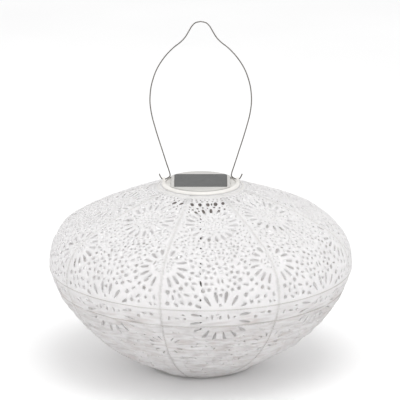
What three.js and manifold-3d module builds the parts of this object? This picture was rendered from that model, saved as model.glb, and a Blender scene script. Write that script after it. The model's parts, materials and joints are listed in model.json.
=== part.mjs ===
// Hanging solar lantern: a saucer-shaped fabric shade on sprung wire ribs and hoops, a moulded
// collar with a wire bail, and a lift-out solar light module that drops into the collar.
// Millimetres, +Z up. The origin is the centre of the bottom ring's lower face.
// Azimuth is measured from -Y towards +X. The bail stands in the XZ plane.
import * as THREE from "three";
import { mergeVertices } from "three/addons/utils/BufferGeometryUtils.js";
import Module from "manifold-3d";

const wasm = await Module();
wasm.setup();

// ---------------------------------------------------------------- driving dimensions
const GORES = 8; // fabric panels, one wire rib in each seam
const SEAM_AZ = 30; // azimuth of the first seam, degrees
const CLOTH = 0.8; // modelled fabric thickness
const SEAM_GAP = 0.36; // clear gap between neighbouring gores
// Outer surface of the cloth, [radius, height], from the bottom hem to the collar.
const PROFILE = [
  [44.2, 0.5],
  [54.0, 5.0],
  [66.3, 11.4],
  [91.9, 26.5],
  [115.0, 45.4],
  [134.0, 68.1],
  [144.6, 87.0],
  [151.3, 105.5],
  [151.7, 112.8],
  [151.1, 120.5],
  [149.0, 128.4],
  [145.0, 136.3],
  [138.6, 144.2],
  [129.3, 151.4],
  [116.6, 158.5],
  [90.5, 170.2],
  [66.0, 179.2],
  [54.0, 183.2],
  [42.0, 187.2],
  [39.2, 188.2],
  [34.4, 188.2],
];
const HOOP_HEIGHTS = [105.5, 87.0]; // equator hoop, lower hoop
const HOOP_WIRE = 0.8; // radius
const RIB_WIRE = 0.6; // radius
const RIB_INSET = 1.85; // rib centreline inside the cloth's outer surface
const HOOP_INSET = 3.7; // hoop centreline inside the cloth's outer surface

const RING_IN = 39.0; // bottom ring
const RING_OUT = 43.0;
const RING_H = 6.0;
const RING_SOCKET_Z = 4.3;

const NECK_IN = 29.8; // collar
const NECK_OUT = 31.8;
const COLLAR_OUT = 39.0;
const COLLAR_SEAT_Z = 189.6;
const COLLAR_UNDER_Z = 188.5;
const COLLAR_LIP_Z = 191.2;
const COLLAR_FOOT_Z = 178.0;
const LIP_IN = 35.3;
const LUG_X = 36.8; // centre of a bail lug
const LUG_T = 2.6;
const LUG_W = 3.8;
const LUG_TOP = 196.4;
const PIVOT_Z = 194.0; // bail axis
const LUG_HOLE = 1.35;

const CLAMP_IN = 32.1; // clamp ring under the hem
const CLAMP_OUT = 38.0;
const CLAMP_Z = [183.4, 186.9];
const CLAMP_SOCKET_Z = 185.2;

const STRUT_R = 0.9; // stretcher struts
const STRUT_TOP = [35.4, 185.7];
const STRUT_FOOT = [41.0, 3.4];

const BAIL_WIRE = 0.6; // radius
// Half outline of the bail above its pivot, [x, height above the pivot].
const BAIL = [
  [41.3, 5.6],
  [40.5, 3.6],
  [39.5, 1.7],
  [38.5, 0.5],
  [37.4, 0.0],
  [36.2, 0.0],
  [34.9, 0.4],
  [33.2, 1.1],
  [31.6, 2.2],
  [30.6, 3.6],
  [30.6, 5.4],
  [31.4, 8.4],
  [33.0, 13.3],
  [35.6, 21.5],
  [38.1, 29.7],
  [40.7, 37.9],
  [43.2, 46.1],
  [45.5, 54.3],
  [47.7, 62.5],
  [49.3, 70.7],
  [50.2, 78.9],
  [50.1, 86.0],
  [49.0, 95.3],
  [46.9, 103.5],
  [43.9, 111.7],
  [39.4, 119.9],
  [33.3, 128.1],
  [26.6, 135.0],
  [19.9, 140.4],
  [16.0, 144.5],
  [13.2, 148.8],
  [10.9, 152.9],
  [8.5, 156.8],
  [5.2, 159.9],
  [0.0, 161.2],
];

const CAP_R = 35.0; // light module
const CAP_TOP = 192.8;
const CAP_FLANGE_Z = 190.6;
const BODY_R = 29.0;
const BODY_IN = 27.5;
const CAP_FLAT_X = 29.4; // flats that let the bail legs swing past the lifted module
const PLATE_Z = [189.7, 190.7];
const SPLIT_Z = 180.9;
const BASE_Z = 166.5;
const FLOOR_Z = 168.1;
const PANEL = [52.0, 46.0, 1.5];
const PANEL_CLIP = 1.5;
const SCREWS = [
  [19.5, 16.2],
  [-19.5, 16.2],
  [-19.5, -16.2],
  [19.5, -16.2],
];
const CELL_R = 7.25;
const CELL_Z = 175.8;
const DOOR = [25.6, 8.3];
const HINGE = [-9.6, 164.6]; // door hinge axis, [y, z], along X
const LEDS = [-8.0, 8.0];
const LED_Y = -16.5;
const SWITCH_Y = 17.2;

// ---------------------------------------------------------------- helpers
const rad = (d) => (d * Math.PI) / 180;
const root = new THREE.Group();
const shade = new THREE.Group();
const lightModule = new THREE.Group();
root.add(shade, lightModule);

const material = (color, roughness, metalness = 0) =>
  new THREE.MeshStandardMaterial({ color, roughness, metalness });
const CLOTH_WHITE = material(0xf4f3f1, 0.85);
const PLASTIC_WHITE = material(0xf1efea, 0.45);
const PLASTIC_TAUPE = material(0x978f8a, 0.5);
const COATED_WIRE = material(0xe7e5e2, 0.5);
const STAINLESS = material(0x9a9793, 0.32, 1);
const SPRING_STEEL = material(0x5d5a57, 0.45, 1);
const PANEL_GREY = material(0x5f6362, 0.25);
const RUBBER_GREY = material(0x9b9c9b, 0.8);
const ZINC = material(0xb9bab8, 0.35, 1);
const BOARD_GREEN = material(0x2f6b45, 0.6);
const CELL_WRAP = material(0x4f8f5f, 0.4);
const LED_CLEAR = material(0xf3efdc, 0.15);
const BLACK_PLASTIC = material(0x2b2b2b, 0.5);
const RED_PVC = material(0xb3352c, 0.5);
const BLACK_PVC = material(0x252525, 0.5);

function add(parent, name, geometry, mat) {
  const mesh = new THREE.Mesh(geometry, mat);
  mesh.name = name;
  parent.add(mesh);
  return mesh;
}

// A closed three.js geometry as a solid that can be joined or cut.
function solid(geometry) {
  const g = geometry.index ? geometry.clone() : geometry;
  g.deleteAttribute("normal");
  g.deleteAttribute("uv");
  const m = mergeVertices(g, 1e-4);
  const index = m.index.array;
  const keep = [];
  for (let i = 0; i < index.length; i += 3)
    if (
      index[i] !== index[i + 1] &&
      index[i + 1] !== index[i + 2] &&
      index[i] !== index[i + 2]
    )
      keep.push(index[i], index[i + 1], index[i + 2]);
  const make = (tris) =>
    new wasm.Manifold(
      new wasm.Mesh({
        numProp: 3,
        vertProperties: new Float32Array(m.attributes.position.array),
        triVerts: new Uint32Array(tris),
      }),
    );
  const s = make(keep);
  if (s.volume() >= 0) return s;
  for (let i = 0; i < keep.length; i += 3)
    [keep[i + 1], keep[i + 2]] = [keep[i + 2], keep[i + 1]];
  return make(keep);
}

function geometry(s) {
  const m = s.getMesh();
  const n = m.numProp;
  const v = new Float32Array(m.numVert * 3);
  for (let i = 0; i < m.numVert; i++)
    v.set(m.vertProperties.subarray(i * n, i * n + 3), i * 3);
  const g = new THREE.BufferGeometry();
  g.setAttribute("position", new THREE.BufferAttribute(v, 3));
  g.setIndex(new THREE.BufferAttribute(new Uint32Array(m.triVerts), 1));
  g.computeVertexNormals();
  return g;
}

const join = (first, ...rest) => rest.reduce((a, b) => a.add(b), first);
const cut = (first, ...rest) => rest.reduce((a, b) => a.subtract(b), first);

// A box given by its lowest and highest corners.
function box(lo, hi) {
  const g = new THREE.BoxGeometry(hi[0] - lo[0], hi[1] - lo[1], hi[2] - lo[2]);
  g.translate((lo[0] + hi[0]) / 2, (lo[1] + hi[1]) / 2, (lo[2] + hi[2]) / 2);
  return g;
}

// A cylinder from a to b.
function rod(a, b, r, sides = 16, r2 = r) {
  const from = new THREE.Vector3(...a);
  const to = new THREE.Vector3(...b);
  const g = new THREE.CylinderGeometry(r2, r, from.distanceTo(to), sides);
  const turn = new THREE.Quaternion().setFromUnitVectors(
    new THREE.Vector3(0, 1, 0),
    to.clone().sub(from).normalize(),
  );
  g.applyQuaternion(turn);
  const mid = from.add(to).multiplyScalar(0.5);
  g.translate(mid.x, mid.y, mid.z);
  return g;
}

// A ring or disc turned about +Z from a closed [radius, height] outline.
function turned(outline, segments, start = 0) {
  const pts = outline.map(([r, z]) => new THREE.Vector2(r, z));
  if (outline[0][0] > 0) pts.push(pts[0].clone());
  const g = new THREE.LatheGeometry(pts, segments, start, Math.PI * 2);
  g.rotateX(Math.PI / 2);
  return g;
}

// A smooth line whose stations follow its control points, so bends get more of them.
class BendLine extends THREE.CatmullRomCurve3 {
  getPointAt(t, target) {
    return this.getPoint(t, target);
  }
  getTangentAt(t, target) {
    return this.getTangent(t, target);
  }
}

// A round wire along a smooth line through points.
function wire(points, r, sides, steps, tension = 0.5) {
  const path = new BendLine(
    points.map((p) => new THREE.Vector3(...p)),
    false,
    "catmullrom",
    tension,
  );
  const shape = new THREE.Shape();
  for (let i = 0; i < sides; i++) {
    const a = (2 * Math.PI * i) / sides;
    if (i) shape.lineTo(r * Math.cos(a), r * Math.sin(a));
    else shape.moveTo(r * Math.cos(a), r * Math.sin(a));
  }
  return new THREE.ExtrudeGeometry(shape, {
    steps,
    extrudePath: path,
    bevelEnabled: false,
  });
}

const at = (r, az, z) => [r * Math.sin(rad(az)), -r * Math.cos(rad(az)), z];
const seam = (i) => SEAM_AZ + (360 / GORES) * i;

// The outline moved inwards by d along its normals.
function inset(profile, d) {
  return profile.map((p, i) => {
    const a = profile[Math.max(0, i - 1)];
    const b = profile[Math.min(profile.length - 1, i + 1)];
    const t = new THREE.Vector2(b[0] - a[0], b[1] - a[1]).normalize();
    return [p[0] - t.y * d, p[1] + t.x * d];
  });
}
const radiusAt = (z) => {
  for (let i = 0; i + 2 < PROFILE.length; i++) {
    const [a, b] = [PROFILE[i], PROFILE[i + 1]];
    if (z >= a[1] && z <= b[1])
      return a[0] + ((b[0] - a[0]) * (z - a[1])) / (b[1] - a[1]);
  }
  return PROFILE[PROFILE.length - 1][0];
};

// ---------------------------------------------------------------- cloth gores
const innerCloth = inset(PROFILE, CLOTH);
innerCloth[innerCloth.length - 1] = [34.4, 188.2 - CLOTH];
innerCloth[innerCloth.length - 2] = [39.0, 188.2 - CLOTH];
const shell = solid(
  turned([...PROFILE, ...innerCloth.reverse()], GORES * 4, rad(SEAM_AZ)),
);
const half = rad(180 / GORES);
for (let i = 0; i < GORES; i++) {
  const mid = seam(i) + 180 / GORES;
  const reach = 260;
  const apex = SEAM_GAP / 2 / Math.sin(half);
  const corner = (az) => {
    const p = at(reach, az, 0);
    const q = at(apex, mid, 0);
    return [p[0] + q[0], p[1] + q[1]];
  };
  const wedge = new THREE.Shape();
  wedge.moveTo(...at(apex, mid, 0).slice(0, 2));
  wedge.lineTo(...corner(mid - 180 / GORES));
  wedge.lineTo(...corner(mid + 180 / GORES));
  wedge.closePath();
  const prism = new THREE.ExtrudeGeometry(wedge, {
    depth: 260,
    bevelEnabled: false,
  });
  prism.translate(0, 0, -20);
  add(
    shade,
    "shade_gore_" + (i + 1),
    geometry(shell.intersect(solid(prism))),
    CLOTH_WHITE,
  );
}

// ---------------------------------------------------------------- wire ribs, hoops and struts
const ribLine = inset(PROFILE, RIB_INSET).slice(2, -4);
for (let i = 0; i < GORES; i++) {
  const line = [
    [RING_OUT - 2.6, RING_SOCKET_Z],
    [RING_OUT + 0.6, RING_SOCKET_Z],
    [48.0, RING_SOCKET_Z + 0.5],
    [54.4, 7.3],
    ...ribLine,
    [54.0, 181.1],
    [47.0, 183.3],
    [42.0, 184.8],
    [CLAMP_OUT + 0.6, CLAMP_SOCKET_Z],
    [CLAMP_OUT - 2.8, CLAMP_SOCKET_Z],
  ];
  add(
    shade,
    "rib_wire_" + (i + 1),
    wire(
      line.map(([r, z]) => at(r, seam(i), z)),
      RIB_WIRE,
      5,
      line.length - 1,
    ),
    COATED_WIRE,
  );
}
function hoop(r, z) {
  const outline = [];
  for (let k = 0; k < 5; k++)
    outline.push([
      r + HOOP_WIRE * Math.cos((2 * Math.PI * k) / 5),
      z + HOOP_WIRE * Math.sin((2 * Math.PI * k) / 5),
    ]);
  return turned(outline, 48, rad(SEAM_AZ));
}
add(
  shade,
  "equator_hoop",
  hoop(radiusAt(HOOP_HEIGHTS[0]) - HOOP_INSET, HOOP_HEIGHTS[0]),
  COATED_WIRE,
);
add(
  shade,
  "lower_hoop",
  hoop(radiusAt(HOOP_HEIGHTS[1]) - HOOP_INSET, HOOP_HEIGHTS[1]),
  COATED_WIRE,
);
for (const [name, az] of [
  ["stretcher_strut_front", 0],
  ["stretcher_strut_back", 180],
])
  add(
    shade,
    name,
    rod(
      at(STRUT_FOOT[0], az, STRUT_FOOT[1]),
      at(STRUT_TOP[0], az, STRUT_TOP[1]),
      STRUT_R,
      10,
    ),
    SPRING_STEEL,
  );

// ---------------------------------------------------------------- bottom ring
{
  let ring = solid(
    turned(
      [
        [RING_IN, 0],
        [RING_OUT - 0.8, 0],
        [RING_OUT, 0.8],
        [RING_OUT, RING_H - 0.6],
        [RING_OUT - 0.6, RING_H],
        [RING_IN + 0.6, RING_H],
        [RING_IN, RING_H - 0.6],
      ],
      40,
      rad(SEAM_AZ),
    ),
  );
  for (let i = 0; i < GORES; i++)
    ring = ring.subtract(
      solid(
        rod(
          at(RING_OUT - 3.0, seam(i), RING_SOCKET_Z),
          at(RING_OUT + 2, seam(i), RING_SOCKET_Z),
          1.0,
          6,
        ),
      ),
    );
  for (const az of [0, 180])
    ring = ring.subtract(
      solid(rod(at(41.0, az, 3.0), at(41.0, az, RING_H + 1), 1.35, 12)),
    );
  add(shade, "bottom_ring", geometry(ring), PLASTIC_WHITE);
}

// ---------------------------------------------------------------- collar and clamp ring
{
  let collar = solid(
    turned(
      [
        [NECK_IN, COLLAR_FOOT_Z],
        [NECK_OUT, COLLAR_FOOT_Z],
        [NECK_OUT, COLLAR_UNDER_Z],
        [COLLAR_OUT, COLLAR_UNDER_Z],
        [COLLAR_OUT, 189.4],
        [38.4, 190.5],
        [36.8, COLLAR_LIP_Z],
        [LIP_IN, COLLAR_LIP_Z],
        [LIP_IN, COLLAR_SEAT_Z],
        [NECK_IN, COLLAR_SEAT_Z],
      ],
      48,
    ),
  );
  for (const side of [-1, 1]) {
    const lug = new THREE.Shape();
    const w = LUG_W / 2;
    lug.moveTo(-w - 1.0, 189.0);
    lug.lineTo(w + 1.0, 189.0);
    lug.lineTo(w, 192.2);
    lug.lineTo(w, LUG_TOP - w);
    for (let k = 1; k < 8; k++)
      lug.lineTo(
        w * Math.cos((Math.PI * k) / 8),
        LUG_TOP - w + w * Math.sin((Math.PI * k) / 8),
      );
    lug.lineTo(-w, LUG_TOP - w);
    lug.lineTo(-w, 192.2);
    lug.closePath();
    const g = new THREE.ExtrudeGeometry(lug, {
      depth: LUG_T,
      bevelEnabled: false,
    });
    g.translate(0, 0, -LUG_T / 2);
    g.rotateX(Math.PI / 2);
    g.rotateZ(Math.PI / 2);
    g.translate(side * LUG_X, 0, 0);
    collar = collar.add(solid(g));
    collar = collar.subtract(
      solid(
        rod([side * 34, 0, PIVOT_Z], [side * 40, 0, PIVOT_Z], LUG_HOLE, 14),
      ),
    );
  }
  add(shade, "collar", geometry(collar), PLASTIC_WHITE);

  let clamp = solid(
    turned(
      [
        [CLAMP_IN, CLAMP_Z[0]],
        [CLAMP_OUT, CLAMP_Z[0]],
        [CLAMP_OUT, CLAMP_Z[1]],
        [CLAMP_IN, CLAMP_Z[1]],
      ],
      40,
      rad(SEAM_AZ),
    ),
  );
  for (let i = 0; i < GORES; i++)
    clamp = clamp.subtract(
      solid(
        rod(
          at(34.8, seam(i), CLAMP_SOCKET_Z),
          at(40, seam(i), CLAMP_SOCKET_Z),
          1.0,
          6,
        ),
      ),
    );
  for (const az of [0, 180])
    clamp = clamp.subtract(
      solid(
        rod(at(STRUT_TOP[0], az, 182), at(STRUT_TOP[0], az, 186.1), 1.35, 12),
      ),
    );
  add(shade, "clamp_ring", geometry(clamp), PLASTIC_WHITE);
}

// ---------------------------------------------------------------- bail
{
  const right = BAIL.map(([x, h]) => [x, 0, h]);
  const left = BAIL.slice(0, -1)
    .map(([x, h]) => [-x, 0, h])
    .reverse();
  const bail = add(
    root,
    "wire_bail",
    wire([...right, ...left], BAIL_WIRE, 6, 102),
    STAINLESS,
  );
  bail.position.set(0, 0, PIVOT_Z);
}

// ---------------------------------------------------------------- light module
const clippedPlate = (w, d, c) => {
  const s = new THREE.Shape();
  const [x, y] = [w / 2, d / 2];
  s.moveTo(-x + c, -y);
  s.lineTo(x - c, -y);
  s.lineTo(x, -y + c);
  s.lineTo(x, y - c);
  s.lineTo(x - c, y);
  s.lineTo(-x + c, y);
  s.lineTo(-x, y - c);
  s.lineTo(-x, -y + c);
  s.closePath();
  return s;
};
const plate = (w, d, c, z0, z1) => {
  const g = new THREE.ExtrudeGeometry(clippedPlate(w, d, c), {
    depth: z1 - z0,
    bevelEnabled: false,
  });
  g.translate(0, 0, z0);
  return g;
};
{
  // Upper housing: flange, recess for the panel, skirt and screw bosses.
  let cap = solid(
    turned(
      [
        [0, PLATE_Z[0]],
        [BODY_IN, PLATE_Z[0]],
        [BODY_IN, SPLIT_Z],
        [BODY_R, SPLIT_Z],
        [BODY_R, CAP_FLANGE_Z],
        [CAP_R - 0.4, CAP_FLANGE_Z],
        [CAP_R, CAP_FLANGE_Z + 0.4],
        [CAP_R, CAP_TOP - 0.9],
        [CAP_R - 0.9, CAP_TOP],
        [0, CAP_TOP],
      ],
      48,
    ),
  );
  for (const [x, y] of SCREWS) {
    cap = cap.add(
      solid(rod([x, y, SPLIT_Z + 0.2], [x, y, PLATE_Z[0] + 0.5], 3.0, 10)),
    );
    cap = cap.subtract(solid(rod([x, y, SPLIT_Z - 1], [x, y, 188.6], 1.45, 8)));
  }
  cap = cut(
    cap,
    solid(
      plate(PANEL[0] + 0.7, PANEL[1] + 0.7, PANEL_CLIP, PLATE_Z[1], CAP_TOP + 1),
    ),
    solid(box([CAP_FLAT_X, -40, 189.0], [40, 40, 194.0])),
    solid(box([-40, -40, 189.0], [-CAP_FLAT_X, 40, 194.0])),
  );
  add(lightModule, "upper_housing", geometry(cap), PLASTIC_WHITE);
}
add(
  lightModule,
  "solar_panel",
  plate(PANEL[0], PANEL[1], PANEL_CLIP, CAP_TOP - PANEL[2], CAP_TOP),
  PANEL_GREY,
);
{
  const gasket = cut(
    solid(plate(51.0, 45.0, PANEL_CLIP, 190.8, 191.2)),
    solid(plate(46.0, 40.0, PANEL_CLIP, 190.0, 192.0)),
  );
  add(lightModule, "panel_gasket", geometry(gasket), RUBBER_GREY);
}
{
  // Lower housing: a cup with the battery opening, lamp holes, switch slot and hinge knuckles.
  let base = solid(
    turned(
      [
        [0, BASE_Z],
        [BODY_R - 1.0, BASE_Z],
        [BODY_R, BASE_Z + 1.0],
        [BODY_R, SPLIT_Z - 0.3],
        [BODY_IN, SPLIT_Z - 0.3],
        [BODY_IN, FLOOR_Z],
        [0, FLOOR_Z],
      ],
      48,
    ),
  );
  for (const [x, y] of SCREWS)
    base = base.add(
      solid(rod([x, y, FLOOR_Z - 0.5], [x, y, SPLIT_Z - 0.5], 3.0, 10)),
    );
  for (const [x0, x1] of [
    [16.6, 19.6],
    [-19.6, -16.6],
    [-2.0, 2.0],
  ])
    base = join(
      base,
      solid(rod([x0, ...HINGE], [x1, ...HINGE], 1.5, 16)),
      solid(box([x0, HINGE[0] - 1.5, HINGE[1]], [x1, HINGE[0] + 0.6, 166.9])),
    );
  const screwHoles = SCREWS.flatMap(([x, y]) => [
    solid(rod([x, y, BASE_Z - 1], [x, y, SPLIT_Z + 1], 1.45, 8)),
    solid(rod([x, y, BASE_Z - 1], [x, y, 168.95], 2.9, 12)),
  ]);
  base = cut(
    base,
    solid(
      box(
        [-DOOR[0] - 0.4, -DOOR[1] - 0.35, BASE_Z - 0.5],
        [DOOR[0] + 0.4, DOOR[1] + 0.35, FLOOR_Z + 0.5],
      ),
    ),
    ...LEDS.map((x) =>
      solid(rod([x, LED_Y, BASE_Z - 1], [x, LED_Y, FLOOR_Z + 1], 2.85, 14)),
    ),
    solid(
      box(
        [-4.2, SWITCH_Y - 1.7, BASE_Z - 1],
        [4.2, SWITCH_Y + 1.7, FLOOR_Z + 1],
      ),
    ),
    ...screwHoles,
    solid(rod([-21.4, ...HINGE], [21.4, ...HINGE], 0.95, 12)),
  );
  add(lightModule, "lower_housing", geometry(base), PLASTIC_TAUPE);
}
{
  // Battery door: plate, two hinge knuckles and a finger ridge.
  let door = solid(
    box([-DOOR[0], -DOOR[1], BASE_Z], [DOOR[0], DOOR[1], FLOOR_Z]),
  );
  for (const [x0, x1] of [
    [9.6, 16.2],
    [-16.2, -9.6],
  ])
    door = join(
      door,
      solid(rod([x0, ...HINGE], [x1, ...HINGE], 1.5, 16)),
      solid(box([x0, HINGE[0], HINGE[1] - 1.45], [x1, -6.2, 166.1])),
      solid(box([x0, -8.0, HINGE[1] - 1.45], [x1, -6.2, 166.9])),
    );
  door = join(
    door,
    solid(box([-7.0, 5.6, BASE_Z - 1.1], [7.0, 6.8, BASE_Z + 0.4])),
    solid(box([-7.0, 3.4, BASE_Z - 0.7], [7.0, 4.3, BASE_Z + 0.4])),
  );
  door = door.subtract(
    solid(rod([-21.4, ...HINGE], [21.4, ...HINGE], 0.95, 12)),
  );
  add(root, "battery_door", geometry(door), PLASTIC_TAUPE);
}
add(
  lightModule,
  "door_hinge_pin",
  rod([-20.0, ...HINGE], [20.0, ...HINGE], 0.6, 10),
  ZINC,
);
{
  const cell = join(
    solid(rod([-25.2, 0, CELL_Z], [23.9, 0, CELL_Z], CELL_R, 28)),
    solid(rod([23.5, 0, CELL_Z], [25.2, 0, CELL_Z], 2.75, 16)),
  );
  add(lightModule, "rechargeable_cell", geometry(cell), CELL_WRAP);
}
add(
  lightModule,
  "contact_plate",
  box([25.6, -4.0, 171.5], [26.1, 4.0, 180.3]),
  ZINC,
);
{
  const pts = [];
  for (let k = 0; k <= 26; k++) {
    const t = k / 26;
    const a = 2 * Math.PI * 2.1 * t;
    const r = 4.3 - 1.9 * t;
    pts.push([-26.75 + 0.85 * t, r * Math.cos(a), CELL_Z + r * Math.sin(a)]);
  }
  add(lightModule, "contact_spring", wire(pts, 0.22, 4, 30), ZINC);
}
add(
  lightModule,
  "circuit_board",
  box([-14.4, -22.4, 171.6], [14.4, -9.0, 173.2]),
  BOARD_GREEN,
);
LEDS.forEach((x, i) => {
  const pts = [[0, 171.3], [2.45, 171.3], [2.45, 165.6]];
  for (let k = 1; k < 5; k++)
    pts.push([
      2.45 * Math.cos((Math.PI * k) / 10),
      165.6 - 2.45 * Math.sin((Math.PI * k) / 10),
    ]);
  pts.push([0, 163.15]);
  const g = turned(pts, 14);
  const s = solid(g);
  const lamp = add(
    lightModule,
    i ? "led_right" : "led_left",
    geometry(s),
    LED_CLEAR,
  );
  lamp.position.set(x, LED_Y, 0);
});
add(
  lightModule,
  "switch_body",
  box([-5.6, SWITCH_Y - 2.9, 168.5], [5.6, SWITCH_Y + 2.9, 172.9]),
  BLACK_PLASTIC,
);
add(
  root,
  "switch_knob",
  box([-3.5, SWITCH_Y - 1.3, 164.9], [-0.5, SWITCH_Y + 1.3, 168.2]),
  BLACK_PLASTIC,
);
SCREWS.forEach(([x, y], i) => {
  const screw = join(
    solid(rod([x, y, 166.9], [x, y, 168.6], 2.5, 16)),
    solid(rod([x, y, 168.3], [x, y, 187.4], 1.1, 10)),
  );
  const slotted = cut(
    screw,
    solid(box([x - 1.5, y - 0.3, 166.5], [x + 1.5, y + 0.3, 167.7])),
    solid(box([x - 0.3, y - 1.5, 166.5], [x + 0.3, y + 1.5, 167.7])),
  );
  add(lightModule, "housing_screw_" + (i + 1), geometry(slotted), ZINC);
});
for (const [name, x, mat] of [
  ["solar_lead_positive", -3.0, RED_PVC],
  ["solar_lead_negative", 3.0, BLACK_PVC],
])
  add(
    lightModule,
    name,
    wire(
      [
        [x, -11.0, 189.5],
        [x, -11.2, 186.5],
        [x * 1.3, -13.0, 181.0],
        [x, -12.2, 176.0],
        [x, -12.0, 173.5],
      ],
      0.6,
      6,
      8,
    ),
    mat,
  );
for (const [name, side, mat] of [
  ["cell_lead_positive", 1, RED_PVC],
  ["cell_lead_negative", -1, BLACK_PVC],
])
  add(
    lightModule,
    name,
    wire(
      [
        [side * 25.0, -8.6, 178.0],
        [side * 24.2, -10.0, 177.2],
        [side * 20.0, -10.6, 176.4],
        [side * 14.0, -10.8, 175.6],
        [side * 12.2, -11.0, 174.6],
        [side * 12.0, -11.0, 173.5],
      ],
      0.6,
      6,
      10,
    ),
    mat,
  );

export default root;
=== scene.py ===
import json
import math
import random

import bmesh
import bpy
import numpy as np
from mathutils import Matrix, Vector, geometry, noise


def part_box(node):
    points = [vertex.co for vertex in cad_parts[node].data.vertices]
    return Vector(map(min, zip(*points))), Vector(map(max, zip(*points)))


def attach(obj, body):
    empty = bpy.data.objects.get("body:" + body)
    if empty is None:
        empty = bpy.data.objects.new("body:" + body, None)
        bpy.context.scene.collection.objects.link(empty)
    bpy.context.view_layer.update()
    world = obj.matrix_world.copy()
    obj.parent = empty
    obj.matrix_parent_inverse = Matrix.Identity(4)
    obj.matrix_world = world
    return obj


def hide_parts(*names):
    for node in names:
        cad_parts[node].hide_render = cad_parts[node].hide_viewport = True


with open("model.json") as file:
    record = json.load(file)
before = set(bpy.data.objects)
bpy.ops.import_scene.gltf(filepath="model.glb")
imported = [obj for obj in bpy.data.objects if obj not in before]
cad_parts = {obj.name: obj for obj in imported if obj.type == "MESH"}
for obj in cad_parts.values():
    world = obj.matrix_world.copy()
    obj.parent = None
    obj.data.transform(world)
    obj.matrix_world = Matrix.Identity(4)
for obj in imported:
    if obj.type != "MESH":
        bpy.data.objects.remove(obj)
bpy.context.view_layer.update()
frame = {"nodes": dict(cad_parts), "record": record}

MM = 0.001
GORES = 8
SEAM_AZ = 30.0
HALF = math.radians(180 / GORES)
THICK = 0.35  # cloth
# The shade's outer surface as the CAD gores have it, [radius, height] in mm.
PROFILE = [
    (44.2, 0.5), (54.0, 5.0), (66.3, 11.4), (91.9, 26.5), (115.0, 45.4),
    (134.0, 68.1), (144.6, 87.0), (151.3, 105.5), (151.7, 112.8), (151.1, 120.5),
    (149.0, 128.4), (145.0, 136.3), (138.6, 144.2), (129.3, 151.4), (116.6, 158.5),
    (90.5, 170.2), (66.0, 179.2), (54.0, 183.2), (42.0, 187.2), (39.2, 188.2),
    (34.4, 188.2),
]
BAIL = [
    (41.3, 5.6), (40.5, 3.6), (39.5, 1.7), (38.5, 0.5), (37.4, 0.0), (36.2, 0.0),
    (34.9, 0.4), (33.2, 1.1), (31.6, 2.2), (30.6, 3.6), (30.6, 5.4), (31.4, 8.4),
    (33.0, 13.3), (35.6, 21.5), (38.1, 29.7), (40.7, 37.9), (43.2, 46.1), (45.5, 54.3),
    (47.7, 62.5), (49.3, 70.7), (50.2, 78.9), (50.1, 86.0), (49.0, 95.3), (46.9, 103.5),
    (43.9, 111.7), (39.4, 119.9), (33.3, 128.1), (26.6, 135.0), (19.9, 140.4),
    (16.0, 144.5), (13.2, 148.8), (10.9, 152.9), (8.5, 156.8), (5.2, 159.9), (0.0, 161.2),
]
joints = {j["name"]: j for j in frame["record"]["behaviour"]["joints"]}
PIVOT_Z = joints["bail_hinge"]["pos_m"][2] / MM

top_of_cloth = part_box("shade_gore_1")[1][2] / MM
assert abs(top_of_cloth - PROFILE[-1][1]) < 0.1, "the profile isn't the CAD's"


# ------------------------------------------------------------------ surface of the shade
def dense(points, per=60):
    """A centripetal Catmull-Rom line through points."""
    p = np.array(points, float)
    p = np.vstack([2 * p[0] - p[1], p, 2 * p[-1] - p[-2]])
    out = []
    for i in range(1, len(p) - 2):
        t = [0.0]
        for k in range(3):
            t.append(t[-1] + np.linalg.norm(p[i + k] - p[i + k - 1]) ** 0.5)
        u = np.linspace(t[1], t[2], per, endpoint=False)[:, None]
        a1 = (t[1] - u) / (t[1] - t[0]) * p[i - 1] + (u - t[0]) / (t[1] - t[0]) * p[i]
        a2 = (t[2] - u) / (t[2] - t[1]) * p[i] + (u - t[1]) / (t[2] - t[1]) * p[i + 1]
        a3 = (t[3] - u) / (t[3] - t[2]) * p[i + 1] + (u - t[2]) / (t[3] - t[2]) * p[i + 2]
        b1 = (t[2] - u) / (t[2] - t[0]) * a1 + (u - t[0]) / (t[2] - t[0]) * a2
        b2 = (t[3] - u) / (t[3] - t[1]) * a2 + (u - t[1]) / (t[3] - t[1]) * a3
        out.append((t[2] - u) / (t[2] - t[1]) * b1 + (u - t[1]) / (t[2] - t[1]) * b2)
    out.append(p[-2][None])
    return np.vstack(out)


LINE = dense(PROFILE)
S = np.concatenate([[0], np.cumsum(np.linalg.norm(np.diff(LINE, axis=0), axis=1))])
LENGTH = float(S[-1])
TAN = np.gradient(LINE, S, axis=0)
TAN /= np.linalg.norm(TAN, axis=1)[:, None]


def R(s):
    return np.interp(s, S, LINE[:, 0])


def Z(s):
    return np.interp(s, S, LINE[:, 1])


_CUT = int(np.argmin(abs(LINE[:, 0] - 39.2) + abs(LINE[:, 1] - 188.2)))


def s_at(z):
    """Arc length from the bottom hem to a height."""
    return float(np.interp(z, LINE[:_CUT, 1], S[:_CUT]))


HOOP_S = [s_at(105.5), s_at(87.0)]
TOP_S = s_at(187.9)


def place(az, s, off=0.0):
    """A point on the shade in metres. az in radians from -Y towards +X, off outwards in mm."""
    tr, tz = np.interp(s, S, TAN[:, 0]), np.interp(s, S, TAN[:, 1])
    r = R(s) + off * tz
    z = Z(s) - off * tr
    return (r * math.sin(az) * MM, -r * math.cos(az) * MM, z * MM)


def smooth(a, b, x):
    t = min(1.0, max(0.0, (x - a) / (b - a)))
    return t * t * (3 - 2 * t)


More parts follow.
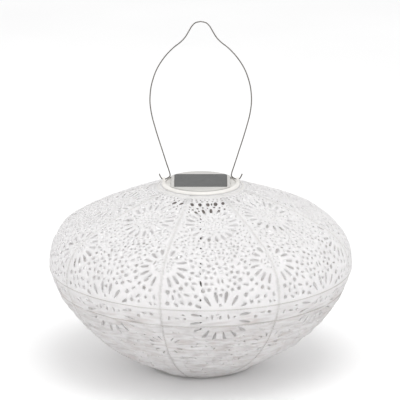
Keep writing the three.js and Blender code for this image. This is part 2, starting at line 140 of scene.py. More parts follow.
def relief(az, s, u):
    """How far the cloth stands off its smooth surface, in mm: slack between the ribs and crinkles."""
    z = float(Z(s))
    r = float(R(s))
    edge = 1 - abs(u) ** 5
    free = min(abs(s - HOOP_S[0]), abs(s - HOOP_S[1]), s, max(0.0, TOP_S - s))
    slack = -1.6 * (1 - u * u) * smooth(2, 34, free)
    low = smooth(92, 80, z)
    band = smooth(107, 103, z) * smooth(86, 90, z)
    around = az * r
    n = noise.noise
    fine = n(Vector((around / 24, s / 4.6 + around / 80, 1.7))) + 0.7 * n(
        Vector((around / 12, s / 3.8 + around / 50, 8.1))
    )
    wide = n(Vector((around / 42, s / 9.0 + around / 90, 4.4)))
    dome = n(Vector((around / 22, s / 19, 12.2)))
    d = slack
    d += edge * smooth(0, 6, free + 3) * (
        (2.1 * fine + 1.7 * wide) * low
        + (0.8 * fine + 0.9 * wide) * band
        + (0.8 * dome + 0.3 * fine) * (1 - low) * (1 - band)
    )
    return max(-2.9, min(0.7, d))


# ------------------------------------------------------------------ the cut pattern of one gore
rng = random.Random(20)
GRID = 0.25
WIDE, TALL = int(130 / GRID), int((LENGTH + 2) / GRID)
taken = np.zeros((WIDE, TALL), bool)
_gx = (np.arange(WIDE) + 0.5) * GRID - 65
_gs = (np.arange(TALL) + 0.5) * GRID
half_width = R(_gs) * HALF
taken |= abs(_gx)[:, None] > (half_width - 1.3)[None, :]
taken[:, _gs < 8.0] = True
taken[:, _gs > TOP_S - 4.6] = True
for h in HOOP_S:
    taken[:, abs(_gs - h) < 0.9] = True
holes = []


def cells(points):
    i = np.clip(((points[:, 0] + 65) / GRID).astype(int), 0, WIDE - 1)
    j = np.clip((points[:, 1] / GRID).astype(int), 0, TALL - 1)
    return i, j


def cut(poly, web=1.15):
    """Cuts a convex hole if it keeps a web of cloth to its neighbours."""
    c = poly.mean(0)
    out = poly - c
    size = np.linalg.norm(out, axis=1)
    grown = c + out * (1 + web / np.maximum(size, 0.5))[:, None]
    ring = np.vstack(
        [grown + (np.roll(grown, -1, 0) - grown) * k for k in (0, 0.25, 0.5, 0.75)]
    )
    test = np.vstack([ring, c + (ring - c) * 0.66, c + (ring - c) * 0.33, c[None]])
    if (abs(test[:, 0]) > 64).any() or (test[:, 1] < 1).any():
        return False
    if taken[cells(test)].any():
        return False
    low, high = poly.min(0) - GRID, poly.max(0) + GRID
    xs = np.arange(low[0], high[0], GRID)
    ys = np.arange(low[1], high[1], GRID)
    g = np.array([(x, y) for x in xs for y in ys])
    inside = np.ones(len(g), bool)
    for a, b in zip(poly, np.roll(poly, -1, 0)):
        inside &= (b[0] - a[0]) * (g[:, 1] - a[1]) - (b[1] - a[1]) * (g[:, 0] - a[0]) >= -0.02
    taken[cells(g[inside])] = True
    holes.append(poly)
    return True


def egg(x, s, length, width, turn, taper=0.26, sides=9):
    """A convex hole, narrower at its inner end, along the direction turn."""
    t = np.linspace(0, 2 * math.pi, sides, endpoint=False)
    a = length / 2 * np.cos(t)
    b = width / 2 * np.sin(t) * (1 - taper + taper * np.cos(t))
    c, d = math.cos(turn), math.sin(turn)
    return np.stack([x + a * c - b * d, s + a * d + b * c], axis=1)


def dot(x, s, d, sides=8):
    return egg(x, s, d * rng.uniform(0.98, 1.14), d * rng.uniform(0.9, 1.02), rng.uniform(0, 3.1), 0, sides)


def ring(x, s, radius, count, make, start=0.0):
    for k in range(count):
        a = start + 2 * math.pi * k / count
        make(x + radius * math.cos(a), s + radius * math.sin(a), a)


def petal(x, s, inner, outer, width, t):
    """A radial petal, shortened at its inner or outer end where a hoop or seam is in the way."""
    for a, b in ((inner, outer), (inner + 3, outer), (inner, outer - 3.5), (inner + 5.5, outer), (inner, outer - 6)):
        m = (a + b) / 2
        if cut(egg(x + m * math.cos(t), s + m * math.sin(t), b - a, width, t, 0.3, 10), 0.75):
            return True
    return False


def rosette(x, s, inner, outer, petals, width, core):
    """A generic round motif: a core of dots, a plain ring, then radial petals."""
    if core:
        cut(dot(x, s, 1.7))
        ring(x, s, 3.9, 6, lambda a, b, _: cut(dot(a, b, 1.6), 0.8), 0.3)
        ring(x, s, 7.4, 11, lambda a, b, _: cut(dot(a, b, 1.5), 0.8))
    mid = (inner + outer) / 2
    ring(
        x, s, mid, petals,
        lambda a, b, t: petal(x, s, inner, outer, width * rng.uniform(0.88, 1.06), t),
        math.pi / petals,
    )


# Three rows of holes round the neck, the lowest the largest.
for away, count, wide, tall, lean in [(6.4, 8, 1.9, 2.4, 0.4), (9.6, 7, 2.5, 2.4, 0.5), (14.1, 5, 4.5, 5.6, 0.12)]:
    s = TOP_S - away
    w = float(R(s)) * HALF - 1.6
    for k in range(count):
        x = -w + 2 * w * (k + 0.5) / count
        grow = rng.uniform(0.9, 1.05)
        cut(egg(x, s, tall * grow, wide * grow, math.pi / 2 + rng.uniform(-lean, lean), 0.12, 9), 0.5)

s1, s2, s3 = s_at(172.5), s_at(146.0), s_at(95.5)
slot_s, s4, s5 = s_at(134.0), s_at(60.0), s_at(30.0)


def seam_x(s):
    return float(R(s)) * HALF


motifs = [(0.0, s1, 27.0), (0.0, slot_s, 17.0), (0.0, s3, 32.0), (0.0, s5, 15.0)]
motifs += [(k * seam_x(s2), s2, 25.5) for k in (-1, 1)]
motifs += [(k * seam_x(s4), s4, 21.0) for k in (-1, 1)]
rosette(0, s1, 16.6, 26.4, 19, 4.3, True)
for k in (-1, 1):
    rosette(k * seam_x(s2), s2, 13.0, 23.2, 16, 4.3, True)
rosette(0, s3, 18.0, 30.0, 16, 4.3, False)
for k in (-1, 1):
    rosette(k * seam_x(s4), s4, 10.0, 16.5, 13, 2.3, False)
rosette(0, s5, 7.0, 11.0, 9, 1.6, False)
for k in (-1, 1):
    cut(egg(k * 1.9, slot_s, 5.6, 2.0, math.pi / 2, 0, 9), 0.6)
ring(0, slot_s, 9.2, 9, lambda a, b, t: cut(dot(a, b, 2.6)))
ring(0, slot_s, 14.4, 14, lambda a, b, t: cut(dot(a, b, 3.3)), 0.2)
# Scalloped arcs of dots and drops round the motifs, then loose dots in what is left.
# The bowl below the lower hoop is pierced only sparsely.
def web_at(s):
    return 1.5 + 0.7 * smooth(s_at(158), s_at(125), s) + 4.6 * smooth(HOOP_S[0] + 2, HOOP_S[1] - 10, s)


def size_at(s):
    low = 4.1 - 2.4 * smooth(HOOP_S[0] - 2, HOOP_S[1] - 4, s)
    return low + (2.6 - low) * smooth(s_at(124), s_at(164), s)


pitches = [5.6, 7.8, 9.0, 12.0, 6.8, 6.8, 12.0, 12.0]
for step in range(6):
    for (x, s, outer), pitch in zip(motifs, pitches):
        radius = outer + 0.32 * pitch + step * pitch * 0.8
        count = max(6, int(2 * math.pi * radius / pitch))
        if step % 2 == 1:
            ring(x, s, radius, count, lambda a, b, t: cut(egg(a, b, size_at(b) * rng.uniform(1.15, 1.6), size_at(b) * rng.uniform(0.7, 0.85), t + rng.uniform(-0.4, 0.4), 0.34, 9), web_at(b)), 0.1 * step)
        else:
            ring(x, s, radius, count, lambda a, b, t: cut(dot(a, b, size_at(b) * rng.uniform(0.72, 1.08), 9), web_at(b)), 0.13 * step)
for _ in range(7000):
    s = rng.uniform(8, TOP_S - 8)
    w = seam_x(s) - 1.2
    x, size = rng.uniform(-w, w), size_at(s) * rng.choice([0.5, 0.62, 0.75, 0.9])
    if rng.random() < 0.45:
        cut(egg(x, s, size * 1.55, size * 0.9, rng.uniform(0, 6.3), 0.34, 8), web_at(s) + 0.1)
    else:
        cut(dot(x, s, size), web_at(s))
OPEN_SHARE = sum(
    abs(np.cross(h - h[0], np.roll(h, -1, 0) - h[0]).sum()) / 2 for h in holes
) / float(np.trapezoid(2 * R(S) * HALF, S) if hasattr(np, "trapezoid") else np.trapz(2 * R(S) * HALF, S))
print("holes in a gore", len(holes), "open share", round(OPEN_SHARE, 3))


def gore_pattern():
    """Flat points, triangles and loops of one gore with its holes cut."""
    pts, edges, owner = [], [], []
    stations = np.linspace(0, LENGTH, int(LENGTH / 2.6))
    side = [(float(R(s)) * HALF - 0.19, float(s)) for s in stations]
    top = [(x, LENGTH) for x in np.linspace(side[-1][0], -side[-1][0], 9)[1:-1]]
    low = [(x, 0.0) for x in np.linspace(-side[0][0], side[0][0], 11)[1:-1]]
    outline = side + top + [(-x, s) for x, s in reversed(side)] + low
    for loop in [np.array(outline)] + holes:
        base = len(pts)
        n = len(loop)
        pts += [tuple(p) for p in loop]
        edges += [(base + k, base + (k + 1) % n) for k in range(n)]
        owner += [len(owner) and owner[-1] + 1 or 0] * n
    s = 2.0
    row = 0
    while s < LENGTH - 1.5:
        z = float(Z(s))
        step = 2.0 if z < 108 and s < HOOP_S[0] + 3 else 3.4
        w = float(R(s)) * HALF - 1.6
        x = -w + (step / 2 if row % 2 else 0)
        while x <= w:
            around = np.array([[x + 0.75 * math.cos(a), s + 0.75 * math.sin(a)] for a in np.arange(0, 6.2, 0.9)] + [[x, s]])
            in_hole = False
            i, j = cells(around)
            if hole_cells[i, j].any():
                in_hole = True
            if not in_hole:
                pts.append((x, s))
                owner.append(-1)
            x += step
        s += step * 0.87
        row += 1
    coords = [Vector(p) for p in pts]
    v, _, f, orig, _, _ = geometry.delaunay_2d_cdt(coords, edges, [], 0, 1e-5)
    who = [owner[o[0]] if o else -1 for o in orig]
    faces = []
    for t in f:
        a, b, c = (who[k] for k in t)
        if a == b == c and a > 0:
            continue
        cx = sum(v[k][0] for k in t) / 3
        cs = sum(v[k][1] for k in t) / 3
        if abs(cx) > float(R(cs)) * HALF - 0.15 or cs < 0 or cs > LENGTH:
            continue
        faces.append(tuple(t))
    return [(p[0], p[1]) for p in v], faces


hole_cells = np.zeros((WIDE, TALL), bool)
for h in holes:
    low, high = h.min(0) - GRID, h.max(0) + GRID
    g = np.array([(x, y) for x in np.arange(low[0], high[0], GRID) for y in np.arange(low[1], high[1], GRID)])
    inside = np.ones(len(g), bool)
    for a, b in zip(h, np.roll(h, -1, 0)):
        inside &= (b[0] - a[0]) * (g[:, 1] - a[1]) - (b[1] - a[1]) * (g[:, 0] - a[0]) >= -0.02
    hole_cells[cells(g[inside])] = True
FLAT, FACES = gore_pattern()


# ------------------------------------------------------------------ materials
def new_material(name):
    m = bpy.data.materials.new(name)
    m.use_nodes = True
    nt = m.node_tree
    nt.nodes.clear()
    out = nt.nodes.new("ShaderNodeOutputMaterial")
    p = nt.nodes.new("ShaderNodeBsdfPrincipled")
    nt.links.new(p.outputs[0], out.inputs[0])
    return m, nt, p, out


def node(nt, kind, **inputs):
    n = nt.nodes.new(kind)
    for k, v in inputs.items():
        if k in n.inputs:
            n.inputs[k].default_value = v
        else:
            setattr(n, k, v)
    return n


def mapped(nt, scale, source="Object"):
    tc = nt.nodes.new("ShaderNodeTexCoord")
    mp = nt.nodes.new("ShaderNodeMapping")
    mp.inputs["Scale"].default_value = scale
    nt.links.new(tc.outputs[source], mp.inputs["Vector"])
    return mp.outputs[0]


def ramp(nt, fac, a, b, lo=0.35, hi=0.65):
    r = nt.nodes.new("ShaderNodeValToRGB")
    r.color_ramp.elements[0].position = lo
    r.color_ramp.elements[1].position = hi
    r.color_ramp.elements[0].color = (*a, 1)
    r.color_ramp.elements[1].color = (*b, 1)
    nt.links.new(fac, r.inputs[0])
    return r.outputs[0]


def span(nt, fac, a, b):
    r = nt.nodes.new("ShaderNodeMapRange")
    r.inputs["To Min"].default_value = a
    r.inputs["To Max"].default_value = b
    nt.links.new(fac, r.inputs[0])
    return r.outputs[0]


def noise_out(nt, vector, scale, detail=3.0, rough=0.55):
    n = node(nt, "ShaderNodeTexNoise", Scale=scale, Detail=detail, Roughness=rough)
    nt.links.new(vector, n.inputs["Vector"])
    return n.outputs["Fac"]


def bump(nt, p, height, strength, distance):
    b = node(nt, "ShaderNodeBump", Strength=strength, Distance=distance)
    nt.links.new(height, b.inputs["Height"])
    nt.links.new(b.outputs[0], p.inputs["Normal"])
    return b


def moulded(name, light, dark, rough=0.42, grain=2600.0):
    """Moulded plastic: faint mottling, a fine spark-eroded grain and slight dust."""
    m, nt, p, _ = new_material(name)
    v = mapped(nt, (1, 1, 1))
    nt.links.new(ramp(nt, noise_out(nt, v, 60, 4), dark, light), p.inputs["Base Color"])
    nt.links.new(span(nt, noise_out(nt, v, 240, 3), rough - 0.07, rough + 0.12), p.inputs["Roughness"])
    bump(nt, p, noise_out(nt, v, grain, 2), 0.18, 0.00008)
    return m


def metal(name, light, dark, rough=0.3, stretch=(1, 1, 14)):
    m, nt, p, _ = new_material(name)
    p.inputs["Metallic"].default_value = 1.0
    v = mapped(nt, stretch)
    nt.links.new(ramp(nt, noise_out(nt, v, 180, 4), dark, light), p.inputs["Base Color"])
    nt.links.new(span(nt, noise_out(nt, v, 420, 3), rough - 0.08, rough + 0.16), p.inputs["Roughness"])
    bump(nt, p, noise_out(nt, v, 1500, 2), 0.2, 0.00005)
    return m


def cloth_material(name, light, dark, through=0.585, weave=True, crease_shade=1.0):
    """Thin woven polyester, bright on the outside and letting some light through."""
    m, nt, p, out = new_material(name)
    at = nt.nodes.new("ShaderNodeAttribute")
    at.attribute_name = "cloth_uv"
    obj = mapped(nt, (1, 1, 1))
    tone = noise_out(nt, obj, 34, 4)
    base = ramp(nt, tone, dark, light, 0.3, 0.62)
    nt.links.new(span(nt, noise_out(nt, obj, 300, 2), 0.66, 0.86), p.inputs["Roughness"])
    p.inputs["Sheen Weight"].default_value = 0.15
    p.inputs["Sheen Roughness"].default_value = 0.5
    p.inputs["Specular IOR Level"].default_value = 0.25
    crinkle = nt.nodes.new("ShaderNodeMapping")
    crinkle.inputs["Scale"].default_value = (46, 310, 1)
    nt.links.new(at.outputs["Vector"], crinkle.inputs["Vector"])
    creases = noise_out(nt, crinkle.outputs[0], 1.0, 5, 0.6)
    parts = nt.nodes.new("ShaderNodeSeparateXYZ")
    nt.links.new(at.outputs["Vector"], parts.inputs[0])
    down = nt.nodes.new("ShaderNodeMapRange")
    for key, value in (("From Min", HOOP_S[1] * MM - 0.004), ("From Max", HOOP_S[0] * MM + 0.006), ("To Min", 1.0), ("To Max", 0.12)):
        down.inputs[key].default_value = value
    nt.links.new(parts.outputs[1], down.inputs[0])
    scaled = node(nt, "ShaderNodeMath", operation="MULTIPLY")
    nt.links.new(creases, scaled.inputs[0])
    nt.links.new(down.outputs[0], scaled.inputs[1])
    first = bump(nt, p, scaled.outputs[0], 1.0, 0.0034)
    # Painted shade: crease troughs below the lower hoop are blended towards a darker warm grey, fading out up to the
    # upper hoop; broad patches of that grey are warmer than others.
    fold_shade = ramp(nt, creases, (crease_shade, crease_shade, crease_shade), (0, 0, 0), 0.38, 0.56)
    share = node(nt, "ShaderNodeMath", operation="MULTIPLY")
    nt.links.new(fold_shade, share.inputs[0])
    fade = nt.nodes.new("ShaderNodeMapRange")
    for key, value in (("From Min", HOOP_S[1] * MM), ("From Max", HOOP_S[0] * MM + 0.002), ("To Min", 0.75), ("To Max", 0.0)):
        fade.inputs[key].default_value = value
    nt.links.new(parts.outputs[1], fade.inputs[0])
    nt.links.new(fade.outputs[0], share.inputs[1])
    warm_shade = ramp(nt, noise_out(nt, obj, 52, 3), (0.55, 0.522, 0.505), (0.60, 0.525, 0.49), 0.4, 0.6)
    blend = nt.nodes.new("ShaderNodeMix")
    blend.data_type = "RGBA"
    nt.links.new(share.outputs[0], blend.inputs[0])
    nt.links.new(base, blend.inputs[6])
    nt.links.new(warm_shade, blend.inputs[7])
    nt.links.new(blend.outputs[2], p.inputs["Base Color"])
    if weave:
        warp = node(nt, "ShaderNodeTexWave", Scale=420.0, Distortion=0.6)
        warp.bands_direction = "X"
        weft = node(nt, "ShaderNodeTexWave", Scale=420.0, Distortion=0.6)
        weft.bands_direction = "Y"
        for w in (warp, weft):
            nt.links.new(at.outputs["Vector"], w.inputs["Vector"])
        both = node(nt, "ShaderNodeMath", operation="ADD")
        nt.links.new(warp.outputs["Fac"], both.inputs[0])
        nt.links.new(weft.outputs["Fac"], both.inputs[1])
        second = node(nt, "ShaderNodeBump", Strength=0.25, Distance=0.00006)
        nt.links.new(both.outputs[0], second.inputs["Height"])
        nt.links.new(first.outputs[0], second.inputs["Normal"])
        nt.links.new(second.outputs[0], p.inputs["Normal"])
    glow = nt.nodes.new("ShaderNodeBsdfTranslucent")
    glow.inputs["Color"].default_value = (*light, 1)
    mix = nt.nodes.new("ShaderNodeMixShader")
    mix.inputs[0].default_value = through
    nt.links.new(p.outputs[0], mix.inputs[1])
    nt.links.new(glow.outputs[0], mix.inputs[2])
    nt.links.new(mix.outputs[0], out.inputs[0])
    return m


CLOTH = cloth_material("pierced_cloth", (0.935, 0.93, 0.932), (0.885, 0.878, 0.878))
# Painted shade: the seam and hem tape is a slightly darker copy of the cloth, standing in for shade along the seams.
TAPE_SHADED = cloth_material("seam_cloth_shaded", (0.875, 0.868, 0.86), (0.81, 0.80, 0.79), 0.45)
# Painted shade: the hoop channels are a much darker grey copy of the cloth, drawn as a shadow line along each hoop.
CHANNEL_SHADED = cloth_material("hoop_cloth_shaded", (0.66, 0.645, 0.63), (0.52, 0.505, 0.49), 0.15)
THREAD = cloth_material("sewing_thread", (0.80, 0.785, 0.765), (0.69, 0.675, 0.655), 0.2, False)
# Painted shade: the stitches below the lower hoop are a dark copy of the sewing thread.
THREAD_SHADED = cloth_material("sewing_thread_shaded", (0.34, 0.30, 0.275), (0.24, 0.21, 0.19), 0.02, False)
WHITE = moulded("white_moulding", (0.68, 0.665, 0.64), (0.63, 0.615, 0.59))
TAUPE = moulded("taupe_moulding", (0.27, 0.243, 0.225), (0.22, 0.197, 0.18))
COATED = moulded("coated_wire", (0.78, 0.77, 0.75), (0.70, 0.69, 0.67), 0.4, 1800)
CAP = moulded("cap_grey_moulding", (0.47, 0.462, 0.445), (0.43, 0.422, 0.405))
STEEL = metal("drawn_wire", (0.22, 0.203, 0.19), (0.10, 0.092, 0.085), 0.3)
SPRING = metal("spring_wire", (0.20, 0.19, 0.18), (0.10, 0.095, 0.09), 0.42)
ZINC = metal("zinc_plating", (0.62, 0.62, 0.60), (0.46, 0.46, 0.45), 0.32, (1, 1, 1))
BLACK = moulded("black_moulding", (0.035, 0.035, 0.036), (0.018, 0.018, 0.018), 0.48)
RUBBER = moulded("gasket_rubber", (0.30, 0.30, 0.295), (0.22, 0.22, 0.215), 0.78)
SLEEVE = moulded("cell_sleeve", (0.10, 0.31, 0.15), (0.07, 0.25, 0.11), 0.3, 900)
BOARD = moulded("board_mask", (0.035, 0.17, 0.07), (0.02, 0.11, 0.045), 0.38, 1500)
RED = moulded("red_insulation", (0.50, 0.035, 0.022), (0.40, 0.025, 0.016), 0.42)
DARK = moulded("black_insulation", (0.03, 0.03, 0.03), (0.016, 0.016, 0.016), 0.42)


def panel_material():
    """A solar cell under clear resin: dark grey with faint fingers and a soft mottling."""
    m, nt, p, _ = new_material("solar_cell")
    v = mapped(nt, (1, 1, 1))
    base = ramp(nt, noise_out(nt, v, 90, 4), (0.019, 0.021, 0.020), (0.031, 0.033, 0.032))
    lines = node(nt, "ShaderNodeTexWave", Scale=120.0)
    lines.bands_direction = "Y"
    nt.links.new(v, lines.inputs["Vector"])
    thin = ramp(nt, lines.outputs["Fac"], (0, 0, 0), (0.14, 0.14, 0.14), 0.94, 0.99)
    mix = nt.nodes.new("ShaderNodeMix")
    mix.data_type = "RGBA"
    mix.blend_type = "ADD"
    mix.inputs[0].default_value = 0.25
    nt.links.new(base, mix.inputs[6])
    nt.links.new(thin, mix.inputs[7])
    nt.links.new(mix.outputs[2], p.inputs["Base Color"])
    nt.links.new(span(nt, noise_out(nt, v, 300, 2), 0.24, 0.36), p.inputs["Roughness"])
    p.inputs["Specular IOR Level"].default_value = 0.2
    p.inputs["Coat Weight"].default_value = 0.03
    p.inputs["Coat Roughness"].default_value = 0.15
    return m


def led_material():
    m, nt, p, _ = new_material("clear_epoxy")
    v = mapped(nt, (1, 1, 1))
    nt.links.new(ramp(nt, noise_out(nt, v, 200, 2), (0.86, 0.82, 0.62), (0.93, 0.90, 0.76)), p.inputs["Base Color"])
    nt.links.new(span(nt, noise_out(nt, v, 400, 2), 0.10, 0.2), p.inputs["Roughness"])
    p.inputs["Transmission Weight"].default_value = 0.35
    return m


PANEL = panel_material()
LED = led_material()


# ------------------------------------------------------------------ mesh helpers
def make(name, verts, faces, mat, body, smooth_faces=True, uv=None):
    me = bpy.data.meshes.new(name)
    me.from_pydata(verts, [], faces)
    me.validate()
    if uv is not None:
        a = me.attributes.new("cloth_uv", "FLOAT_VECTOR", "POINT")
        a.data.foreach_set("vector", np.array([(x * MM, s * MM, 0) for x, s in uv], float).ravel())
    me.materials.append(mat)
    me.polygons.foreach_set("use_smooth", [smooth_faces] * len(me.polygons))
    me.update()
    o = bpy.data.objects.new(name, me)
    bpy.context.scene.collection.objects.link(o)
    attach(o, body)
    return o


def outward(o, centre=(0, 0, 0.1)):
    """Turns an open surface's faces away from centre."""
    me = o.data
    c = Vector(centre)
    total = sum((p.center - c).dot(p.normal) for p in me.polygons)
    if total < 0:
        me.flip_normals()


BODY = "shade_frame"
for i in range(GORES):
    mid = math.radians(SEAM_AZ + 360 / GORES * (i + 0.5))
    verts = []
    for x, s in FLAT:
        r = float(R(s))
        az = mid + x / r
        u = max(-1.0, min(1.0, x / (r * HALF)))
        verts.append(place(az, s, relief(az, s, u)))
    o = make(f"lace_gore_{i + 1}", verts, FACES, CLOTH, BODY, True, FLAT)
    bm = bmesh.new()
    bm.from_mesh(o.data)
    loose = [v for v in bm.verts if not v.link_faces]
    bmesh.ops.delete(bm, geom=loose, context="VERTS")
    bm.to_mesh(o.data)
    bm.free()
    outward(o)
    sol = o.modifiers.new("thickness", "SOLIDIFY")
    sol.thickness = THICK * MM
    sol.offset = -1
    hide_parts(f"shade_gore_{i + 1}")


def band(name, path, section, mat, closed=False):
    """A closed strip: path gives (az, s) stations, section gives (across, off) in mm."""
    verts, faces, uv = [], [], []
    n, m = len(path), len(section)
    for az, s, turn in path:
        for a, off in section:
            if turn:  # along a hoop: across is along s
                verts.append(place(az, s + a, off))
                uv.append((abs(az - math.pi) * float(R(s)), s + a))
            else:  # along a seam: across is round the axis
                verts.append(place(az + a / float(R(s)), s, off))
                uv.append((a, s))
    for k in range(n if closed else n - 1):
        for j in range(m):
            a, b = k * m + j, k * m + (j + 1) % m
            c, d = ((k + 1) % n) * m + (j + 1) % m, ((k + 1) % n) * m + j
            faces.append((a, b, c, d))
    if not closed:
        faces.append(tuple(range(m)))
        faces.append(tuple((n - 1) * m + j for j in reversed(range(m))))
    o = make(name, verts, faces, mat, BODY, True, uv)
    bm = bmesh.new()
    bm.from_mesh(o.data)
    bmesh.ops.recalc_face_normals(bm, faces=bm.faces)
    bm.to_mesh(o.data)
    bm.free()
    return o


def rounded(width, low, high):
    w = width / 2
    return [(-w, low), (-w * 0.96, high * 0.55), (-w * 0.6, high * 0.9), (0, high), (w * 0.6, high * 0.9), (w * 0.96, high * 0.55), (w, low), (0, low)]


SEAM_END = TOP_S - 1.0
for i in range(GORES):
    az = math.radians(SEAM_AZ + 360 / GORES * i)
    path = [(az, s, False) for s in np.linspace(1.0, SEAM_END, 130)]
    band(f"seam_tape_{i + 1}", path, rounded(1.0, -0.25, 0.1), TAPE_SHADED)
for k, s in enumerate(HOOP_S):
    path = [(2 * math.pi * j / 192, s, True) for j in range(192)]
    band(f"hoop_channel_{k + 1}", path, rounded(0.9, -0.25, 0.26), CHANNEL_SHADED, True)
top_hem = band(
    "top_hem", [(2 * math.pi * j / 192, TOP_S - 2.3, True) for j in range(192)],
    rounded(3.4, -0.2, 0.4), TAPE_SHADED, True,
)
bottom_hem = band(
    "bottom_hem", [(2 * math.pi * j / 192, 4.0, True) for j in range(192)],
    rounded(5.6, -0.2, 0.45), TAPE_SHADED, True,
)


def stitches(name, items, radius=0.15, mat=THREAD):
    """Short raised threads: items are (az, s, along azimuth?, length in mm, off)."""
    verts, faces, uv = [], [], []
    for az, s, round_it, length, off in items:
        r = float(R(s))
        base = len(verts)
        for t, rise, fat in ((-0.5, -0.1, 0.45), (-0.3, 0.06, 1), (0.3, 0.06, 1), (0.5, -0.1, 0.45)):
            for q in range(5):
                a = 2 * math.pi * q / 5
                side, up = radius * fat * math.cos(a), radius * fat * math.sin(a) + off + rise
                if round_it:
                    verts.append(place(az + t * length / r, s + side, up))
                else:
                    verts.append(place(az + side / r, s + t * length, up))
                uv.append((az * r, s))
        for k in range(3):
            for q in range(5):
                faces.append((base + k * 5 + q, base + k * 5 + (q + 1) % 5, base + k * 5 + 5 + (q + 1) % 5, base + k * 5 + 5 + q))
        faces.append(tuple(base + q for q in reversed(range(5))))
        faces.append(tuple(base + 15 + q for q in range(5)))
    o = make(name, verts, faces, mat, BODY, True, uv)
    bm = bmesh.new()
    bm.from_mesh(o.data)
    bmesh.ops.recalc_face_normals(bm, faces=bm.faces)
    bm.to_mesh(o.data)
    bm.free()
    return o


seam_threads, low_threads = [], []
for i in range(GORES):
    az = math.radians(SEAM_AZ + 360 / GORES * i)
    items = []
    for s in np.arange(HOOP_S[1] + 2.0, SEAM_END - 3, 3.1):
        for k in (-1, 1):
            items.append((az + k * 0.8 / float(R(s)), s, False, 1.8, 0.06))
    seam_threads.append(stitches(f"seam_thread_{i + 1}", items, 0.1))
    # The stitches below the lower hoop take the dark, painted-shade copy of the thread.
    items = [(az, s, False, 0.9, 0.12) for s in np.arange(5.0, HOOP_S[1] - 1.5, 3.0)]
    low_threads.append(stitches(f"seam_thread_low_{i + 1}", items, 0.16, THREAD_SHADED))
hem_items = []
for j in range(168):
    a = 2 * math.pi * j / 168
    hem_items.append((a, TOP_S - 2.3, False, 2.3, 0.36))
top_thread = stitches("top_hem_thread", hem_items, 0.14)
hem_items = []
for j in range(150):
    hem_items.append((2 * math.pi * j / 150, 4.0, False, 3.6, 0.42))
bottom_thread = stitches("bottom_hem_thread", hem_items, 0.13)
for k, s in enumerate(HOOP_S):
    items = []
    count = 290
    for j in range(count):
        items.append((2 * math.pi * j / count, s - 1.0, True, 2.1, 0.08))
    stitches(f"hoop_thread_{k + 1}", items, 0.12)


# ------------------------------------------------------------------ bail
def bail():
    right = dense([(x, h) for x, h in BAIL], 8)
    pts = [(x, h) for x, h in right] + [(-x, h) for x, h in reversed(right[:-1])]
    cu = bpy.data.curves.new("bail_wire", "CURVE")
    cu.dimensions = "3D"
    sp = cu.splines.new("POLY")
    sp.points.add(len(pts) - 1)
    for p, (x, h) in zip(sp.points, pts):
        p.co = (x * MM, 0, (PIVOT_Z + h) * MM, 1)
    cu.bevel_depth = 0.59 * MM
    cu.bevel_resolution = 4
    cu.use_fill_caps = True
    o = bpy.data.objects.new("bail_curve", cu)
    bpy.context.scene.collection.objects.link(o)
    me = bpy.data.meshes.new_from_object(o.evaluated_get(bpy.context.evaluated_depsgraph_get()))
    bpy.data.objects.remove(o)
    bpy.data.curves.remove(cu)
    me.name = "bail_wire"
    me.materials.clear()
    me.materials.append(STEEL)
    me.polygons.foreach_set("use_smooth", [True] * len(me.polygons))
    b = bpy.data.objects.new("bail_wire", me)
    bpy.context.scene.collection.objects.link(b)
    bm = bmesh.new()
    bm.from_mesh(me)
    bmesh.ops.remove_doubles(bm, verts=bm.verts, dist=1e-6)
    bmesh.ops.recalc_face_normals(bm, faces=bm.faces)
    bm.to_mesh(me)
    bm.free()
    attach(b, "bail")
    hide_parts("wire_bail")


bail()


# ------------------------------------------------------------------ moulded pieces
BODIES = frame["record"]["behaviour"]["bodies"]
SLOTS = {e["node"]: e["material_slot"] for e in frame["record"]["subparts"]}


def body_name(n):
    return next(b for b, nodes in BODIES.items() if n in nodes)


def refined(n, mat, width, name):
    """The CAD piece again with merged flat faces, rounded edges and smooth shading."""
    me = frame["nodes"][n].data.copy()
    me.name = name
    bm = bmesh.new()
    bm.from_mesh(me)
    bmesh.ops.remove_doubles(bm, verts=bm.verts, dist=1e-7)
    bmesh.ops.dissolve_limit(
        bm, angle_limit=math.radians(0.6), verts=bm.verts, edges=bm.edges
    )
    bm.to_mesh(me)
    bm.free()
    me.materials.clear()
    me.materials.append(mat)
    for p in me.polygons:
        p.material_index = 0
        p.use_smooth = True
    me.set_sharp_from_angle(angle=math.radians(32))
    o = bpy.data.objects.new(name, me)
    bpy.context.scene.collection.objects.link(o)
    b = o.modifiers.new("edges", "BEVEL")
    b.width = width * MM
    b.segments = 2
    b.limit_method = "ANGLE"
    b.angle_limit = math.radians(32)
    b.harden_normals = True
    b.use_clamp_overlap = True
    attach(o, body_name(n))
    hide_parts(n)
    return o


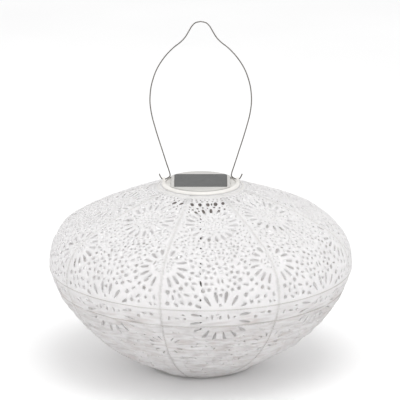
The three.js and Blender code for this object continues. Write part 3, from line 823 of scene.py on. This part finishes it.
refined("collar", WHITE, 0.22, "collar_moulding")
refined("bottom_ring", WHITE, 0.25, "bottom_ring_moulding")
refined("upper_housing", CAP, 0.22, "cap_moulding")
refined("lower_housing", TAUPE, 0.2, "lamp_housing_moulding")
refined("battery_door", TAUPE, 0.18, "battery_door_moulding")
refined("solar_panel", PANEL, 0.18, "solar_panel_glazed")
refined("led_left", LED, 0.1, "led_lens_left")
refined("led_right", LED, 0.1, "led_lens_right")
by_slot = {
    "white_plastic": WHITE, "taupe_plastic": TAUPE, "coated_wire": COATED, "spring_steel": SPRING, "zinc_plate": ZINC,
    "black_plastic": BLACK, "gasket_rubber": RUBBER, "cell_wrap": SLEEVE,
    "board": BOARD, "red_pvc": RED, "black_pvc": DARK, "panel_face": PANEL,
    "led_clear": LED, "stainless": STEEL, "cloth": CLOTH,
}
for n, o in frame["nodes"].items():
    for slot_ in o.material_slots:
        slot_.link = "OBJECT"
        slot_.material = by_slot[SLOTS[n]]

# ------------------------------------------------------------------ stage
scene = bpy.context.scene
fl = bpy.data.meshes.new("floor")
fl.from_pydata([(-9, -9, 0), (9, -9, 0), (9, 9, 0), (-9, 9, 0)], [], [(0, 1, 2, 3)])
floor = bpy.data.objects.new("floor", fl)
scene.collection.objects.link(floor)
fm, fnt, fp, _ = new_material("floor_paper")
fv = mapped(fnt, (1, 1, 1))
fnt.links.new(ramp(fnt, noise_out(fnt, fv, 3, 2), (0.90, 0.90, 0.90), (0.92, 0.92, 0.92)), fp.inputs["Base Color"])
fp.inputs["Roughness"].default_value = 0.9
fl.materials.append(fm)

world = bpy.data.worlds.new("studio")
scene.world = world
world.use_nodes = True
bg = world.node_tree.nodes["Background"]
bg.inputs[0].default_value = (1.0, 1.0, 1.0, 1)
bg.inputs[1].default_value = 0.97


def area_light(name, pos, size, power, target=(0, 0, 0.12), colour=(1, 1, 1)):
    li = bpy.data.lights.new(name, "AREA")
    li.shape = "DISK"
    li.size = size
    li.energy = power
    li.color = colour
    o = bpy.data.objects.new(name, li)
    scene.collection.objects.link(o)
    o.location = pos
    o.rotation_euler = (Vector(target) - Vector(pos)).to_track_quat("-Z", "Y").to_euler()


area_light("top_softbox", (0.15, -0.45, 1.7), 1.2, 11)
area_light("front_fill", (1.0, -2.2, 0.9), 1.2, 8)
area_light("left_fill", (-1.9, -1.3, 0.6), 1.0, 5)

cam = bpy.data.cameras.new("camera")
cam.lens = 315.75
cam.sensor_width = 36
cam_ob = bpy.data.objects.new("camera", cam)
scene.collection.objects.link(cam_ob)
cam_ob.location = (-0.00072, -3.36006, 1.15221)
cam_ob.rotation_euler = (math.radians(90 - 16.257), 0, 0)
cam.clip_end = 40
scene.camera = cam_ob
scene.view_settings.view_transform = "Standard"
scene.view_settings.look = "None"
